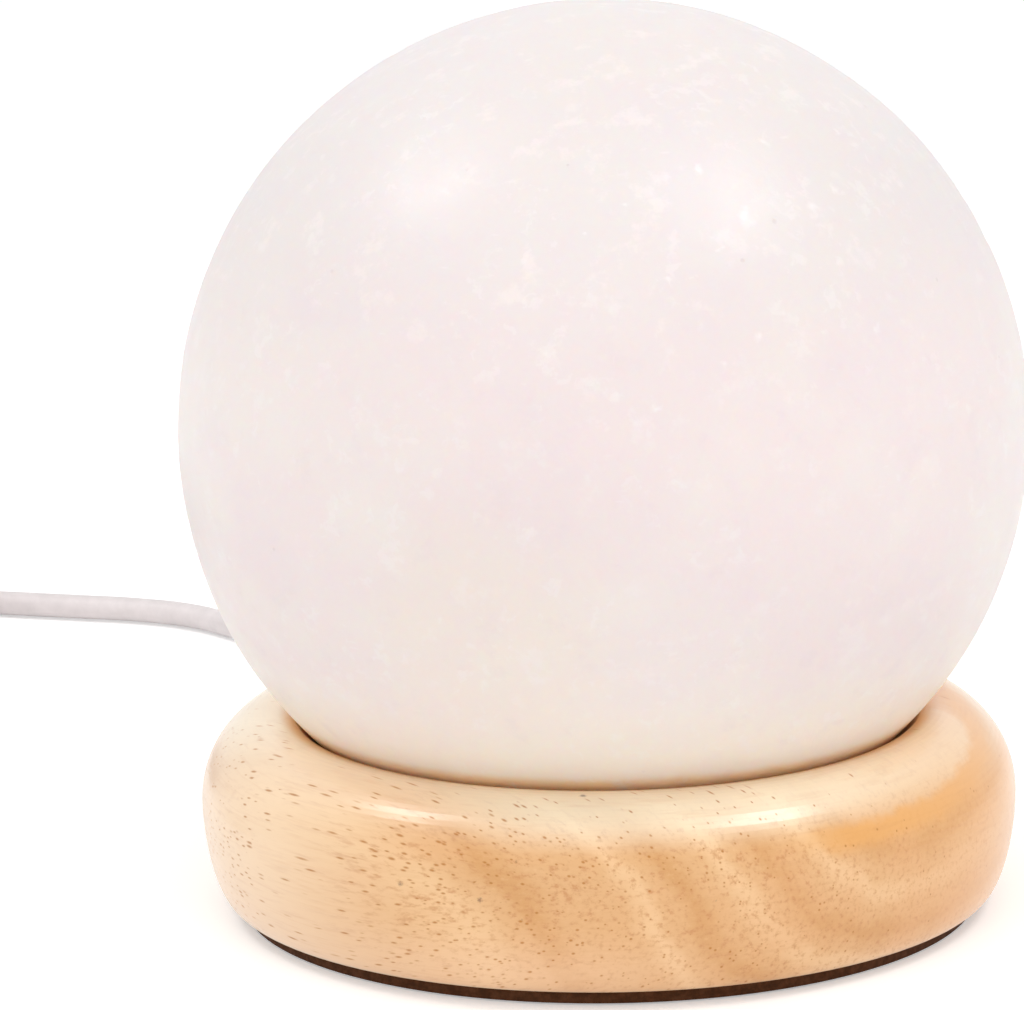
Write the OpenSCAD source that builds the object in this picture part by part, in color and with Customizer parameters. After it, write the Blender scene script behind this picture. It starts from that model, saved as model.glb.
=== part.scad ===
// Small USB salt lamp: a ground ball of rock salt lies loose in the dish of a turned wooden base,
// over an LED module. Millimetres, +Z up, origin in the middle of the base's underside.
// The cord leaves the base towards +Y.

/* [Salt ball] */
// Diameter of the ball
ball_d = 90; // [84:0.5:110]
// Depth of the hole drilled up into the ball, to the end of its straight wall
ball_hole_depth = 34; // [26:1:40]
// Angle of the drill's point at the end of that hole
drill_point = 118; // [90:1:140]
// Chamfer round the mouth of the hole
ball_hole_chamfer = 1; // [0.4:0.1:1.6]
// Gap between the hole and the dome over the LEDs
dome_gap = 1.9; // [1:0.1:3]

/* [Wooden base] */
// Width of the ledge that carries the ball
seat_ring_w = 3; // [2:0.1:5]
// Depth of the dish, from its mouth down to the ledge
dish_depth = 9; // [6:0.1:11]
// Gap between the ball and the dish's round wall
dish_gap = 0.3; // [0.2:0.05:0.6]
// Width of the turned rim, from the dish to the widest part of the base
rim_w = 10.25; // [9:0.05:16]
// Width of the rim's crown, from the dish to its highest line
crown_w = 2; // [1.6:0.1:6]
// Rise of the crown above the mouth of the dish
crown_rise = 0.5; // [0.4:0.1:2]
// Height of the widest part above the wood's underside
belly_h = 10.3; // [7:0.1:13]
// Distance that the foot is drawn in under the widest part
foot_in = 2.9; // [1.5:0.05:5]
// Break of the sharp edge round the mouth of the dish
lip_round = 0.5; // [0.2:0.1:1]
// Roundness of the base above the widest part: 2 is an ellipse, more is squarer
upper_power = 2; // [1.6:0.05:2.6]
// Roundness of the base under the widest part
lower_power = 1.75; // [1.6:0.05:2.8]

/* [Fits] */
// Clearance between fixed pieces that are pushed together
fit_gap = 0.2; // [0.1:0.05:0.3]
// Clearance round pieces that are pressed or screwed in
slip_gap = 0.05; // [0.02:0.01:0.1]

/* [Pad] */
// Thickness of the pad under the base
pad_t = 1.6; // [1:0.1:3]
// Inset of the pad from the edge of the foot
pad_in = 1.4; // [0.5:0.1:3]

/* [LED module] */
// Diameter of the round LED board
board_d = 24; // [22:0.5:28]
// Thickness of the board
board_t = 1; // [0.8:0.1:1.6]
// Depth of the board's top under the ball's flat
board_drop = 2.4; // [2.2:0.1:3]
// Wall of the holder's barrel
holder_wall = 1.2; // [1:0.1:2]
// Width of the holder's flange outside the barrel
flange_w = 4.5; // [4.3:0.1:6]
// Thickness of the flange
flange_t = 1.6; // [1.4:0.1:2.4]
// Height of the tabs under the board
tab_h = 1; // [0.8:0.1:1.4]
// Reach of the tabs under the board's edge
tab_reach = 1; // [0.8:0.1:1.4]
// Angle that each tab and each snap lug takes up
lug_angle = 26; // [15:1:40]
// Wall of the dome
dome_wall = 1; // [0.8:0.1:1.5]
// Width of the foot round the dome
dome_foot_w = 0.9; // [0.7:0.1:1.4]
// Thickness of that foot
dome_foot_t = 1; // [0.8:0.1:1.2]
// Straight part of the dome above its foot
dome_straight = 1.8; // [1:0.1:5]
// Side of the square LED chips
chip_w = 5; // [3:0.1:5.4]
// Height of the LED chips
chip_h = 1.6; // [0.8:0.1:2]
// Gap between the chips and the inside of the dome
chip_margin = 1.4; // [1.2:0.1:2]
// Number of LED chips, and of resistors between them
chip_count = 3; // [2:1:4]
// Length of a resistor
resistor_l = 3.2; // [2:0.1:3.4]
// Width of a resistor
resistor_w = 1.6; // [0.8:0.1:2]
// Height of a resistor
resistor_h = 0.6; // [0.4:0.1:1]

/* [Screws] */
// Number of screws in the holder's flange
screw_count = 3; // [3:1:4]
// Diameter of the screws
screw_d = 2; // [1.8:0.1:2.4]
// Diameter of their countersunk heads
screw_head_d = 3.8; // [3.4:0.1:4]
// Height of the countersunk part
screw_head_h = 1.2; // [0.9:0.1:1.3]
// Length of the screws over all
screw_l = 8; // [6:0.5:9]
// Width of the cross slot in each head
screw_slot_w = 0.5; // [0.3:0.1:0.8]
// Length of that slot
screw_slot_l = 2; // [1.4:0.1:2.4]
// Depth of that slot
screw_slot_deep = 0.7; // [0.4:0.1:0.9]

/* [Cord] */
// Diameter of the cord
cord_d = 3; // [2.8:0.1:3.2]
// Wood left under the grommet's flange
exit_margin = 1; // [0.6:0.1:3]
// Diameter of the grommet's flange
grommet_flange_d = 6; // [5.4:0.1:6.4]
// Thickness of the grommet's flange
grommet_flange_t = 1; // [0.8:0.1:1.6]
// Length of the grommet inside the wood
grommet_l = 8; // [5:0.5:14]
// Wall of the grommet there
grommet_wall = 0.6; // [0.5:0.1:0.8]
// Length of the grommet's tapered nose
nose_l = 6; // [4:0.5:7]
// Wall of the nose at its tip
nose_tip_wall = 0.3; // [0.2:0.05:0.5]
// Diameter of the two wires in the cord
wire_d = 1.1; // [0.9:0.1:1.2]
// Gap between the two wires
wire_gap = 0.3; // [0.2:0.05:0.4]
// Height of the solder joints under the board
solder_h = 0.6; // [0.4:0.1:0.9]
// Width of the cable tie that stops the cord
stop_w = 2.4; // [2:0.1:3]
// Thickness of that tie
stop_t = 0.7; // [0.5:0.1:1]
// Side of the cable tie's head
stop_head = 3.2; // [2.8:0.1:3.6]
// Room between the cable tie and the board above it
stop_room = 0.45; // [0.2:0.05:1]

/* [Coil] */
// Inner bend of the coil, to the middle of the cord
coil_inner_r = 12; // [12:0.5:14]
// Gap between turns and between layers
turn_gap = 0.5; // [0.42:0.02:1]
// Number of layers
coil_layers = 4; // [2:2:4]
// Thickness of the twist tie round the coil
tie_t = 0.5; // [0.3:0.1:0.6]
// Width of the twist tie
tie_w = 4; // [3:0.5:6]
// Gap between the twist tie and the turns
tie_gap = 0.3; // [0.1:0.05:0.5]
// Length of the tie's twisted end
tie_end_l = 7; // [5:0.5:10]

/* [USB plug] */
// Width of the moulded grip
plug_w = 16; // [14:0.5:18]
// Height of the moulded grip
plug_h = 8; // [7:0.5:9]
// Length of the moulded grip
plug_l = 21; // [18:0.5:26]
// Rounding of the grip's edges
plug_round = 2.4; // [1.5:0.1:3]
// Length of the bend relief behind the grip
relief_l = 10; // [8:0.5:12]
// Diameter of the bend relief at the grip
relief_d = 6; // [5:0.1:6.5]
// Width of the metal shell
shell_w = 12; // [11.9:0.05:12.1]
// Height of the metal shell
shell_h = 4.5; // [4.4:0.05:4.6]
// Length of the shell outside the grip
shell_l = 12; // [11.5:0.25:13]
// Length of the shell inside the grip
shell_in = 6; // [4:0.5:8]
// Thickness of the shell's metal
shell_t = 0.3; // [0.25:0.05:0.4]
// Thickness of the tongue inside the shell
tongue_t = 1.9; // [1.7:0.05:2]
// Width of the tongue's contacts
contact_w = 1; // [0.8:0.1:1.1]
// Thickness of the contacts
contact_t = 0.2; // [0.1:0.05:0.3]

/* [Hidden] */
$fn = 96;

// Radii of the LED module, from the board outwards
board_r = board_d / 2;
barrel_inner_r = board_r + fit_gap;
barrel_r = barrel_inner_r + holder_wall;
flange_r = barrel_r + flange_w;
recess_r = flange_r + fit_gap;
ball_flat_r = recess_r + seat_ring_w;
dome_r = board_r - dome_foot_w;
ball_hole_r = dome_r + dome_gap;

// Cord and grommet
cord_r = cord_d / 2;
grommet_r = cord_r + slip_gap + grommet_wall;
flange_face_r = grommet_flange_d / 2;
stop_r = cord_r + slip_gap + stop_t;

// Heights: the cord lies over the grommet's margin, the board over the tied cord, and the ball's
// seat over the board
foot_z = pad_t;
cord_z = foot_z + exit_margin + flange_face_r;
board_z = cord_z + stop_r + stop_room;
board_top_z = board_z + board_t;
seat_z = board_top_z + board_drop;
seat_h = seat_z - foot_z;
belly_z = foot_z + belly_h;
mouth_z = seat_z + dish_depth;
crown_z = mouth_z + crown_rise;

// The ball stands on its ground flat, so its middle follows from the flat's radius
ball_r = ball_d / 2;
ball_z = seat_z + sqrt(pow(ball_r, 2) - pow(ball_flat_r, 2));

// Radii of the wooden base, from the mouth of the dish outwards
dish_r = ball_r + dish_gap;
mouth_r = sqrt(pow(dish_r, 2) - pow(ball_z - mouth_z, 2));
belly_r = mouth_r + rim_w;
crown_r = mouth_r + crown_w;
foot_r = belly_r - foot_in;
arc_steps = 20;

// Screws stand in the middle of the flange, clear of the cord at the back
screw_ring_r = barrel_r + flange_w / 2;
screw_start = 30;
chip_ring_r = dome_r - dome_wall - chip_margin - chip_w / 2;

// Cord's exit: the grommet's flange sits in a spot face that is cut square into the round base
spot_face_deep = 0.4;
spot_face_y = lower_r(cord_z - flange_face_r) - spot_face_deep;
nose_y = spot_face_y + grommet_flange_t;
exit_y = nose_y + nose_l;

// Inside, the jacket ends behind the middle, and each wire bends up to the board
jacket_end_y = 5.5;
wire_out_l = 2;
wire_side = (wire_d + wire_gap) / 2;
wire_bend_r = board_z - solder_h - cord_z;
wire_top_y = jacket_end_y - wire_out_l - wire_bend_r;

// Radius of the turned base at a height under its widest part
function lower_r(z) =
    let (down = min(1, (belly_z - z) / belly_h))
    foot_r + foot_in * pow(1 - pow(down, lower_power), 1 / lower_power);

// Free cord, from the tip of the grommet's nose to the coil, as steps to the side and to the back
// of that tip. From the sixth point on it lies on the floor, and it rises a little to the coil.
floor_z = cord_r;
coil_z = cord_r + tie_t + 2 * slip_gap;
cord_lay = [
    [0, 0, cord_z], [0, 3.5, cord_z], [-0.2, 9.4, 4.7], [-2.4, 16.2, 2.9], [-6.6, 22.6, 1.7],
    [-11.8, 28.2, floor_z], [-17.2, 33.7, floor_z], [-22.6, 39.4, floor_z],
    [-28, 45.2, floor_z], [-33.2, 51, floor_z], [-38.2, 56.9, floor_z],
    [-42.8, 62.8, floor_z], [-47.2, 68.6, floor_z], [-52.6, 73.8, floor_z],
    [-59.4, 77.1, floor_z], [-66.8, 79.1, floor_z], [-74, 81, floor_z],
    [-81, 82.9, floor_z], [-87.5, 83.9, 1.8], [-94, 84.1, coil_z], [-97.5, 84.1, coil_z]
];
cord_route = [for (p = cord_lay) [p.x, exit_y + p.y, p.z]];

// Coil: its middle lies straight in front of the place where the free cord joins its first turn
cord_end = cord_route[len(cord_route) - 1];
end_straight = cord_d + 0.5;
coil_pitch = cord_d + turn_gap;
layer_turn = 742.5;
coil_outer_r = coil_inner_r + coil_pitch * layer_turn / 360;
coil_mid = [cord_end.x - end_straight, cord_end.y - coil_outer_r];
coil_sweep = layer_turn * coil_layers;
coil_steps = round(coil_sweep / 15);
start_angle = 90;
climb_turn = 180;

// Radius of the coil's middle line after a turn of a degrees: in, out, in and out again
function coil_r(a) =
    let (layer = min(coil_layers - 1, floor(a / layer_turn)), along = a - layer * layer_turn)
    layer % 2 == 0
        ? coil_outer_r - coil_pitch * along / 360
        : coil_inner_r + coil_pitch * along / 360;

// Height of the coil's middle line: a layer is climbed in the half turn round each reversal
function coil_height(a) =
    coil_z + coil_pitch * sum([
        for (k = [1 : coil_layers - 1])
            min(1, max(0, (a - k * layer_turn + climb_turn / 2) / climb_turn))
    ]);

function coil_point(a) = [
    coil_mid.x + coil_r(a) * cos(start_angle + a),
    coil_mid.y + coil_r(a) * sin(start_angle + a),
    coil_height(a)
];

// The coil starts and ends with a straight stretch, square to the cord that it meets
end_heading = [-sin(start_angle + coil_sweep), cos(start_angle + coil_sweep), 0];
coil_path = concat(
    [cord_end],
    [for (i = [0 : coil_steps]) coil_point(i * coil_sweep / coil_steps)],
    [coil_point(coil_sweep) + end_straight * end_heading]
);

// Last stretch, from the top layer of the coil down to the plug on the floor. The points in its
// middle are steps from its start.
lead_start = coil_path[len(coil_path) - 1];
plug_z = plug_h / 2;
plug_lead_lay = [[0, -9.3, -1.4], [0.3, -15.3, -3.7], [0.9, -21.8, -6], [1.8, -28.3, -7.6]];
plug_x = lead_start.x + 3.2;
relief_y = lead_start.y - 45.3;
plug_lead_route = concat(
    [lead_start, lead_start + end_straight * end_heading],
    [for (step = plug_lead_lay) lead_start + step],
    [[plug_x - 0.4, relief_y + 10, plug_z], [plug_x, relief_y + end_straight, plug_z],
     [plug_x, relief_y, plug_z]]
);
grip_y = relief_y - relief_l;
shell_y = grip_y - plug_l;
shell_round = 0.5;
tongue_recess = 0.4;
tongue_l = shell_in + shell_l - tongue_recess;

function sum(v) = v * [for (i = v) 1];
function unit(v) = v / norm(v);
function path_length(p) = sum([for (i = [1 : len(p) - 1]) norm(p[i] - p[i - 1])]);

// Heading of a path at one of its points, along the neighbours' line and square at the ends
function heading(p, i) =
    i <= 1 ? unit(p[1] - p[0])
    : i >= len(p) - 2 ? unit(p[len(p) - 1] - p[len(p) - 2])
    : unit(p[i + 1] - p[i - 1]);

// Ring of points round one point of a path, level with the floor to both sides
function ring(centre, ahead, r, sides) =
    let (side = unit(cross(ahead, [0, 0, 1])), up = cross(side, ahead))
    [for (k = [0 : sides - 1])
        centre + r * (sin(k * 360 / sides) * side + cos(k * 360 / sides) * up)];

// Least distance of a path's points to its points at least that many steps away
function least_gap(p, apart) = min([
    for (i = [0 : len(p) - apart - 1]) for (j = [i + apart : len(p) - 1]) norm(p[i] - p[j])
]);

// Closed tube along a path, of triangles
module tube(path, r, sides) {
    rings = len(path);
    points = [for (i = [0 : rings - 1]) each ring(path[i], heading(path, i), r, sides)];
    sides_faces = [
        for (i = [0 : rings - 2]) for (k = [0 : sides - 1])
            let (a = i * sides + k, b = i * sides + (k + 1) % sides)
            each [[a, b, b + sides], [a, b + sides, a + sides]]
    ];
    first_cap = [for (k = [1 : sides - 2]) [0, k + 1, k]];
    last = (rings - 1) * sides;
    last_cap = [for (k = [1 : sides - 2]) [last, last + k, last + k + 1]];
    polyhedron(points, concat(sides_faces, first_cap, last_cap), convexity = 20);
}

// Rounded rectangle made of true arcs
module round_rectangle(w, h, r) {
    square([w - 2 * r, h], center = true);
    square([w, h - 2 * r], center = true);
    for (x = [-1, 1], y = [-1, 1])
        translate([x * (w / 2 - r), y * (h / 2 - r)]) circle(r = r);
}

module salt_ball() {
    hole_top = seat_z + ball_hole_depth;
    color([0.96, 0.92, 0.91]) difference() {
        translate([0, 0, ball_z]) sphere(r = ball_r);
        translate([0, 0, seat_z - ball_r]) cylinder(r = ball_r, h = ball_r);
        translate([0, 0, seat_z - 1]) cylinder(r = ball_hole_r, h = ball_hole_depth + 1);
        translate([0, 0, hole_top])
            cylinder(r1 = ball_hole_r, r2 = 0, h = ball_hole_r / tan(drill_point / 2));
        translate([0, 0, seat_z])
            cylinder(r1 = ball_hole_r + ball_hole_chamfer, r2 = ball_hole_r, h = ball_hole_chamfer);
    }
}

// Section of the turned base: bore, recess for the holder's flange, ledge, dish, crown and then
// down the outside to the foot
module base_section() {
    ledge_end = asin((ball_z - seat_z) / dish_r);
    mouth_end = asin((ball_z - mouth_z) / dish_r);
    dish = [for (i = [0 : arc_steps])
        let (a = ledge_end + (mouth_end - ledge_end) * i / arc_steps)
        [dish_r * cos(a), ball_z - dish_r * sin(a)]];
    crown = [for (i = [1 : arc_steps / 2])
        let (t = i / (arc_steps / 2))
        [mouth_r + lip_round + (crown_w - lip_round) * t,
         mouth_z + lip_round / 2 + (crown_rise - lip_round / 2) * sin(90 * t)]];
    upper = [for (i = [1 : arc_steps])
        let (a = 90 - 90 * i / arc_steps)
        [crown_r + (belly_r - crown_r) * pow(cos(a), 2 / upper_power),
         belly_z + (crown_z - belly_z) * pow(sin(a), 2 / upper_power)]];
    lower = [for (i = [1 : arc_steps])
        let (a = 90 * i / arc_steps)
        [foot_r + foot_in * pow(cos(a), 2 / lower_power),
         belly_z - belly_h * pow(sin(a), 2 / lower_power)]];
    polygon(concat(
        [[barrel_r + fit_gap, foot_z], [barrel_r + fit_gap, seat_z - flange_t],
         [recess_r, seat_z - flange_t], [recess_r, seat_z]],
        dish,
        [[mouth_r + lip_round * 0.4, mouth_z + lip_round * 0.3]],
        crown, upper, lower
    ));
}

module at_screws() {
    for (i = [0 : screw_count - 1])
        rotate([0, 0, screw_start + i * 360 / screw_count]) translate([screw_ring_r, 0, 0])
            children();
}

module wood_base() {
    pilot_beyond = 0.5;
    color([0.93, 0.76, 0.56]) difference() {
        rotate_extrude() base_section();
        at_screws() translate([0, 0, seat_z - screw_l - pilot_beyond])
            cylinder(r = screw_d / 2 + slip_gap, h = screw_l);
        translate([0, 0, cord_z]) rotate([-90, 0, 0]) {
            cylinder(r = grommet_r + slip_gap, h = belly_r);
            translate([0, 0, spot_face_y])
                cylinder(r = flange_face_r + fit_gap, h = belly_r - spot_face_y);
        }
    }
}

module base_pad() {
    color([0.16, 0.12, 0.1]) cylinder(r = foot_r - pad_in, h = pad_t);
}

// Lug inside the barrel: a stub ring over one angle, a little into the wall
module lug(low, high, reach, angle) {
    rotate([0, 0, angle - lug_angle / 2]) rotate_extrude(angle = lug_angle)
        translate([barrel_inner_r - reach, low]) square([reach + holder_wall / 2, high - low]);
}

module led_holder() {
    snap_low = board_top_z + dome_foot_t + 2 * slip_gap;
    snap_high = seat_z - fit_gap;
    tab_start = 30;
    snap_start = 90;
    slot_r = cord_r + fit_gap;
    slot_mouth_w = cord_d - fit_gap;
    slot_l = 3 * holder_wall;
    color([0.93, 0.93, 0.9]) difference() {
        union() {
            difference() {
                union() {
                    translate([0, 0, foot_z]) cylinder(r = barrel_r, h = seat_h);
                    translate([0, 0, seat_z - flange_t]) cylinder(r = flange_r, h = flange_t);
                }
                translate([0, 0, foot_z - 1]) cylinder(r = barrel_inner_r, h = seat_h + 2);
            }
            for (turn = [0, 120, 240]) {
                lug(board_z - tab_h, board_z, tab_reach + fit_gap, tab_start + turn);
                lug(snap_low, snap_high, dome_foot_w, snap_start + turn);
            }
        }
        at_screws() {
            translate([0, 0, seat_z - flange_t - 1])
                cylinder(r = screw_d / 2 + fit_gap, h = flange_t + 2);
            translate([0, 0, seat_z - screw_head_h])
                cylinder(r1 = screw_d / 2 + slip_gap, r2 = screw_head_d / 2 + slip_gap,
                         h = screw_head_h);
        }
        // slot for the cord, open at the bottom and a little narrower there, so that it snaps in
        translate([0, barrel_r - slot_l / 2, 0]) {
            translate([0, 0, cord_z]) rotate([-90, 0, 0]) cylinder(r = slot_r, h = slot_l);
            translate([-slot_mouth_w / 2, 0, foot_z - 1])
                cube([slot_mouth_w, slot_l, cord_z - foot_z + 1]);
        }
    }
}

module holder_screws() {
    point_l = screw_d;
    point_r = 0.2;
    color([0.75, 0.75, 0.77]) at_screws() difference() {
        union() {
            translate([0, 0, seat_z - screw_head_h])
                cylinder(r1 = screw_d / 2, r2 = screw_head_d / 2, h = screw_head_h);
            translate([0, 0, seat_z - screw_l + point_l])
                cylinder(r = screw_d / 2, h = screw_l - point_l - screw_head_h);
            translate([0, 0, seat_z - screw_l])
                cylinder(r1 = point_r, r2 = screw_d / 2, h = point_l);
        }
        for (a = [0, 90]) rotate([0, 0, a]) translate([0, 0, seat_z])
            cube([screw_slot_l, screw_slot_w, 2 * screw_slot_deep], center = true);
    }
}

module led_board() {
    color([0.9, 0.92, 0.9]) translate([0, 0, board_z]) cylinder(r = board_r, h = board_t);
}

// Ring of pieces on the board, from the back round, each turned towards the middle
module on_board(start) {
    for (i = [0 : chip_count - 1])
        rotate([0, 0, start + i * 360 / chip_count]) translate([chip_ring_r, 0, board_top_z])
            children();
}

module led_chips() {
    lens_r = chip_w * 0.4;
    lens_deep = 0.2;
    color([0.97, 0.93, 0.7]) on_board(90) difference() {
        translate([-chip_w / 2, -chip_w / 2, 0]) cube([chip_w, chip_w, chip_h]);
        translate([0, 0, chip_h - lens_deep])
            cylinder(r1 = lens_r - lens_deep, r2 = lens_r + lens_deep, h = 2 * lens_deep);
    }
}

module board_resistors() {
    color([0.15, 0.15, 0.16]) on_board(90 + 180 / chip_count)
        translate([-resistor_w / 2, -resistor_l / 2, 0]) cube([resistor_w, resistor_l, resistor_h]);
}

module led_dome() {
    base_z = board_top_z;
    top_z = base_z + dome_foot_t + dome_straight;
    color([0.97, 0.97, 0.95]) difference() {
        union() {
            translate([0, 0, base_z]) cylinder(r = board_r, h = dome_foot_t);
            translate([0, 0, base_z]) cylinder(r = dome_r, h = top_z - base_z);
            translate([0, 0, top_z]) sphere(r = dome_r);
        }
        translate([0, 0, base_z]) mirror([0, 0, 1]) cylinder(r = board_d, h = board_d);
        translate([0, 0, base_z - 1]) cylinder(r = dome_r - dome_wall, h = top_z - base_z + 1);
        translate([0, 0, top_z]) sphere(r = dome_r - dome_wall);
    }
}

// Wire from the cord's end, level towards the front and then up to its solder joint
module wire(side) {
    translate([side * wire_side, jacket_end_y - wire_out_l, cord_z]) {
        rotate([-90, 0, 0]) cylinder(r = wire_d / 2, h = wire_out_l);
        translate([0, 0, wire_bend_r]) rotate([0, -90, 0]) rotate([0, 0, 180])
            rotate_extrude(angle = 90) translate([wire_bend_r, 0]) circle(r = wire_d / 2);
    }
}

module wire_positive() {
    color([0.8, 0.1, 0.1]) wire(1);
}

module wire_negative() {
    color([0.1, 0.1, 0.1]) wire(-1);
}

module solder_joints() {
    color([0.8, 0.8, 0.82]) for (side = [-1, 1])
        translate([side * wire_side, wire_top_y, board_z - solder_h])
            cylinder(r1 = wire_d / 2 - slip_gap, r2 = wire_side - slip_gap, h = solder_h);
}

module cord_inner() {
    color([0.93, 0.92, 0.91]) translate([0, jacket_end_y, cord_z]) rotate([-90, 0, 0])
        cylinder(r = cord_r, h = exit_y - jacket_end_y);
}

module cord_stop_tie() {
    // the head's far corner sets how near to the barrel's wall the tie can lie
    head_x = cord_r + stop_t / 2;
    wall_y = sqrt(pow(barrel_inner_r - fit_gap, 2) - pow(head_x + stop_head, 2));
    color([0.9, 0.9, 0.88]) translate([0, wall_y - stop_w, cord_z]) rotate([-90, 0, 0]) difference() {
        union() {
            cylinder(r = stop_r, h = stop_w);
            translate([head_x, -stop_head / 2, 0]) cube([stop_head, stop_head, stop_w]);
        }
        translate([0, 0, -1]) cylinder(r = cord_r + slip_gap, h = stop_w + 2);
    }
}

module cord_grommet() {
    nose_step = 0.6;
    color([0.9, 0.89, 0.88]) translate([0, 0, cord_z]) rotate([-90, 0, 0]) difference() {
        union() {
            translate([0, 0, spot_face_y - grommet_l])
                cylinder(r = grommet_r, h = grommet_l + grommet_flange_t / 2);
            translate([0, 0, spot_face_y]) cylinder(r = flange_face_r, h = grommet_flange_t);
            translate([0, 0, nose_y])
                cylinder(r1 = flange_face_r - nose_step, r2 = cord_r + nose_tip_wall, h = nose_l);
        }
        cylinder(r = cord_r + slip_gap, h = exit_y + 1);
    }
}

module power_cord() {
    color([0.93, 0.92, 0.91]) tube(cord_route, cord_r, 8);
}

module cord_coil() {
    color([0.93, 0.92, 0.91]) tube(coil_path, cord_r, 6);
}

module plug_lead() {
    color([0.93, 0.92, 0.91]) tube(plug_lead_route, cord_r, 8);
}

// Twist tie: a band round all turns at the front of the coil, with its ends twisted together
module coil_tie() {
    tie_angle = 180;
    band_round = 0.8;
    strand_r = 0.55;
    strand_x = 0.45;
    turns = floor((coil_sweep - tie_angle) / 360);
    radii = [for (k = [0 : turns]) coil_r(tie_angle + 360 * k)];
    low_r = min(radii) - cord_r - tie_gap;
    high_r = max(radii) + cord_r + tie_gap;
    low_z = tie_t;
    high_z = coil_z + coil_pitch * (coil_layers - 1) + cord_r + tie_gap;
    band_w = high_r - low_r;
    band_h = high_z - low_z;
    color([0.95, 0.95, 0.95])
        translate([coil_mid.x, coil_mid.y - (low_r + high_r) / 2, (low_z + high_z) / 2]) {
            rotate([90, 0, 90]) linear_extrude(tie_w, center = true) difference() {
                round_rectangle(band_w + 2 * tie_t, band_h + 2 * tie_t, band_round + tie_t);
                round_rectangle(band_w, band_h, band_round);
            }
            translate([0, -band_w / 2 - tie_t / 2, 0]) rotate([90, 0, 0])
                linear_extrude(tie_end_l, twist = 720, slices = 28, $fn = 8) for (s = [-1, 1])
                    translate([s * strand_x, 0]) circle(r = strand_r);
        }
}

// The plug lies flat on the floor with its tip towards the front
module at_plug(y) {
    translate([plug_x, y, plug_z]) rotate([90, 0, 0]) children();
}

module usb_plug_grip() {
    corner_x = plug_w / 2 - plug_round;
    corner_y = plug_h / 2 - plug_round;
    shoulder_l = plug_l * 0.3;
    neck_w = 0.6;
    neck_h = 0.5;
    relief_tip_wall = 0.5;
    color([0.93, 0.92, 0.91]) difference() {
        union() {
            at_plug(grip_y) hull() {
                for (x = [-1, 1], y = [-1, 1]) {
                    translate([x * corner_x, y * corner_y, shoulder_l])
                        cylinder(r = plug_round, h = plug_l - shoulder_l, $fn = 32);
                    translate([x * corner_x * neck_w, y * corner_y * neck_h, 0])
                        cylinder(r = plug_round, h = 1, $fn = 32);
                }
            }
            at_plug(relief_y)
                cylinder(r1 = cord_r + relief_tip_wall, r2 = relief_d / 2, h = relief_l + 0.5);
        }
        at_plug(shell_y + shell_in) linear_extrude(shell_in + 1)
            round_rectangle(shell_w + 2 * slip_gap, shell_h + 2 * slip_gap, shell_round);
    }
}

module usb_plug_shell() {
    latch_w = 2.3;
    latch_l = 2;
    latch_from_tip = 5.2;
    color([0.8, 0.8, 0.82]) at_plug(shell_y + shell_in) difference() {
        linear_extrude(shell_in + shell_l) difference() {
            round_rectangle(shell_w, shell_h, shell_round);
            round_rectangle(shell_w - 2 * shell_t, shell_h - 2 * shell_t, shell_round - shell_t);
        }
        for (x = [-1, 1]) translate([x * shell_w / 4, 0, shell_in + shell_l - latch_from_tip])
            cube([latch_w, shell_h + 2, latch_l], center = true);
    }
}

// Both stand over the bottom of the shell, with the contacts on top of the tongue
module on_tongue_floor() {
    at_plug(shell_y + shell_in) translate([0, -shell_h / 2 + shell_t + slip_gap, 0]) children();
}

module usb_plug_tongue() {
    side_gap = 3 * slip_gap;
    tongue_w = shell_w - 2 * shell_t - 2 * side_gap;
    color([0.95, 0.95, 0.95]) on_tongue_floor()
        translate([-tongue_w / 2, 0, 0]) cube([tongue_w, tongue_t, tongue_l]);
}

module usb_plug_contacts() {
    contact_inset = 1;
    outer_l = 7.4;
    inner_l = 6.4;
    color([0.85, 0.7, 0.35]) on_tongue_floor()
        for (contact = [[-3.5, outer_l], [-1, inner_l], [1, inner_l], [3.5, outer_l]])
            translate([contact.x - contact_w / 2, tongue_t, tongue_l - contact.y - contact_inset])
                cube([contact_w, contact_t, contact.y]);
}

cord_length = path_length(cord_route) + path_length(coil_path) + path_length(plug_lead_route);
echo(cord_length_mm = cord_length);
echo(coil_least_gap_mm = least_gap(coil_path, 12) - cord_d);
echo(ball_middle_z = ball_z, mouth_r = mouth_r, belly_r = belly_r, crown_z = crown_z);
echo(exit = [0, exit_y, cord_z], plug_tip = [plug_x, shell_y - shell_l, plug_z]);

salt_ball();
wood_base();
base_pad();
led_holder();
holder_screws();
led_board();
led_chips();
board_resistors();
solder_joints();
led_dome();
wire_positive();
wire_negative();
cord_inner();
cord_stop_tie();
cord_grommet();
power_cord();
cord_coil();
coil_tie();
plug_lead();
usb_plug_grip();
usb_plug_shell();
usb_plug_tongue();
usb_plug_contacts();
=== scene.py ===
"""Looks of a small USB salt lamp: a ground ball of white rock salt in a turned wooden base.

Metres, +Z up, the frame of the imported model. The camera and the cord come first, then the pieces
that stand for CAD solids, then the materials, the floor and the lights.
"""

import math

import bmesh
import bpy
from mathutils import Euler, Matrix, Vector, noise


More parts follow.
